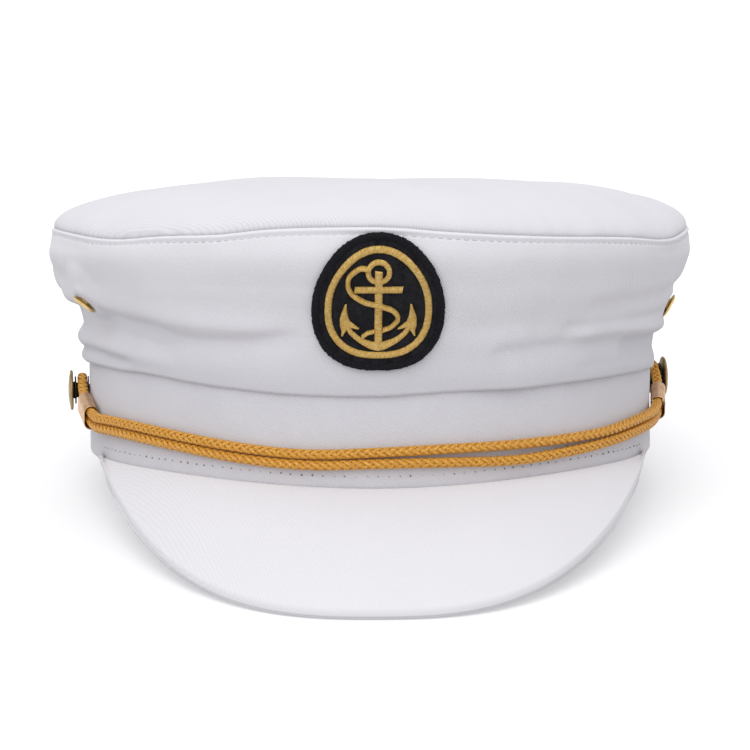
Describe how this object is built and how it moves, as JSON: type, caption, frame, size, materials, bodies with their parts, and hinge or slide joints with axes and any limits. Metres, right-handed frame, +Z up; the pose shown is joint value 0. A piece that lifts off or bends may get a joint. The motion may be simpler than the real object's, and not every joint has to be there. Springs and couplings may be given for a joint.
{
  "type": "peaked cap",
  "caption": "Soft white cotton peaked cap with a short visor, a gold cord held by side buttons and sliding sleeves, side eyelets and an anchor badge.",
  "frame": {"origin": "on the table the cap stands on, below the middle of its bounding box", "axes": "+Z up, -Y where the visor points, +X to the right of someone who faces the badge"},
  "size_m": [0.209, 0.2573, 0.1139],
  "materials": {
    "white_twill": "white cotton twill, matte with a faint diagonal rib",
    "stiffener_board": "buckram-like band stiffener, matte",
    "sweatband_cotton": "white cotton tape, matte",
    "label_tape": "blank woven tape",
    "visor_plastic": "moulded visor board, matte",
    "lining_cloth": "thin white plain-weave lining",
    "black_felt": "black wool felt",
    "black_thread": "black overlock thread, low sheen",
    "gold_thread": "gold satin-stitch thread, high sheen",
    "gold_braid": "braided gold rayon cord, high sheen",
    "eyelet_brass": "bright brass",
    "sleeve_brass": "pale coppery brass, satin",
    "aged_brass": "dark antique brass",
    "black_nylon": "black moulded nylon"
  },
  "bodies": {
    "cap": {"band_cover": "white_twill", "band_stiffener": "stiffener_board", "sweatband": "sweatband_cotton", "size_label": "label_tape", "visor_under_cover": "white_twill", "visor_board": "visor_plastic", "visor_top_cover": "white_twill", "crown_front_panel": "white_twill", "crown_rear_panel": "white_twill", "crown_tip": "white_twill", "crown_lining_wall": "lining_cloth", "crown_lining_tip": "lining_cloth", "badge_felt": "black_felt", "badge_merrow_edge": "black_thread", "badge_ring": "gold_thread", "badge_anchor": "gold_thread", "badge_rope": "gold_thread", "crown_eyelets_left": "eyelet_brass", "crown_eyelets_right": "eyelet_brass", "eyelet_washers_left": "eyelet_brass", "eyelet_washers_right": "eyelet_brass"},
    "chin_cord": {"gold_cord": "gold_braid"},
    "sleeve_left": {"cord_sleeve_left": "sleeve_brass"},
    "sleeve_right": {"cord_sleeve_right": "sleeve_brass"},
    "button_left": {"button_head_left": "aged_brass", "button_shank_left": "black_nylon", "button_back_left": "black_nylon"},
    "button_right": {"button_head_right": "aged_brass", "button_shank_right": "black_nylon", "button_back_right": "black_nylon"}
  },
  "joints": [
    {"name": "button_left_spin", "type": "hinge", "parent": "cap", "child": "button_left", "pos_m": [0, 0.0196, 0.033], "axis": [-0.9974, -0.0715, 0], "continuous": true},
    {"name": "button_right_spin", "type": "hinge", "parent": "cap", "child": "button_right", "pos_m": [0, 0.0196, 0.033], "axis": [0.9974, 0.0715, 0], "continuous": true},
    {"name": "cord_swing", "type": "hinge", "parent": "cap", "child": "chin_cord", "pos_m": [0, 0.0196, 0.033], "axis": [-0.9974, -0.0715, 0], "range_deg": [0, 7]},
    {"name": "sleeve_left_slide", "type": "slide", "parent": "chin_cord", "child": "sleeve_left", "axis": [-0.2031, 0.9742, 0.0981], "range_m": [0, 0.003]},
    {"name": "sleeve_right_slide", "type": "slide", "parent": "chin_cord", "child": "sleeve_right", "axis": [0.1039, 0.9849, 0.1385], "range_m": [0, 0.003]}
  ]
}
